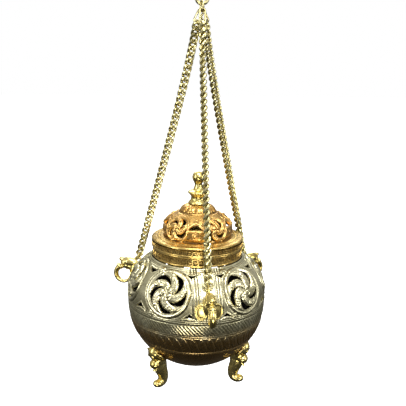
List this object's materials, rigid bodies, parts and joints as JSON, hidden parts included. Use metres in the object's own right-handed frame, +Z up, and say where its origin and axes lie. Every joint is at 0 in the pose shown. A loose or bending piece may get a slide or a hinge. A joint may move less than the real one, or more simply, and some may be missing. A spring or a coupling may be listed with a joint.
{
  "type": "hanging censer",
  "caption": "Pierced metal bowl on short feet with a lift-off pierced lid, hung by chains from one ring, for burning incense on charcoal.",
  "frame": {"origin": "the point inside the top ring where a hook bears, on the bowl's axis", "axes": "+Z up along the bowl's axis; -Y towards the front lug; +X to the right of it"},
  "size_m": [0.1178, 0.1177, 0.2775],
  "materials": {
    "chain_brass": "bright drawn wire, lightly tarnished",
    "pale_brass": "polished and engraved, pale above, browned below",
    "golden_bronze": "satin bronze with chased key bands",
    "copper_bronze": "warm coppery bronze, pierced and chased",
    "polished_brass": "cast and polished yellow brass",
    "sooted_pan": "dark, soot stained"
  },
  "bodies": {
    "ring": {"suspension_ring": "chain_brass"},
    "joiner": {"joining_link": "chain_brass"},
    "censer": {"bowl": "pale_brass", "neck_collar": "golden_bronze", "chain_end_link_front": "chain_brass", "chain_front": "chain_brass", "jump_ring_front": "chain_brass", "lug_front": "polished_brass", "lug_rivet_front": "polished_brass", "chain_end_link_right": "chain_brass", "chain_right": "chain_brass", "jump_ring_right": "chain_brass", "lug_right": "polished_brass", "lug_rivet_right": "polished_brass", "chain_end_link_left": "chain_brass", "chain_left": "chain_brass", "jump_ring_left": "chain_brass", "lug_left": "polished_brass", "lug_rivet_left": "polished_brass", "foot_front_left": "polished_brass", "foot_rivet_front_left": "polished_brass", "foot_front_right": "polished_brass", "foot_rivet_front_right": "polished_brass", "foot_rear": "polished_brass", "foot_rivet_rear": "polished_brass"},
    "lid": {"lid_rim": "golden_bronze", "lid_dome": "copper_bronze", "lid_crown": "copper_bronze", "finial": "polished_brass", "finial_washer": "polished_brass", "finial_nut": "polished_brass"},
    "pan": {"charcoal_pan": "sooted_pan"}
  },
  "joints": [
    {"name": "fore_aft_swing", "type": "hinge", "parent": "ring", "child": "joiner", "pos_m": [0, 0, -0.0068], "axis": [1, 0, 0], "range_deg": [-45, 45]},
    {"name": "side_swing", "type": "hinge", "parent": "joiner", "child": "censer", "pos_m": [0, 0, -0.0113], "axis": [0, 1, 0], "range_deg": [-45, 45]},
    {"name": "lid_lift", "type": "slide", "parent": "censer", "child": "lid", "axis": [0, 0, 1], "range_m": [0, 0.018]},
    {"name": "pan_lift", "type": "slide", "parent": "censer", "child": "pan", "axis": [0, 0, 1], "range_m": [0, 0.055]}
  ]
}
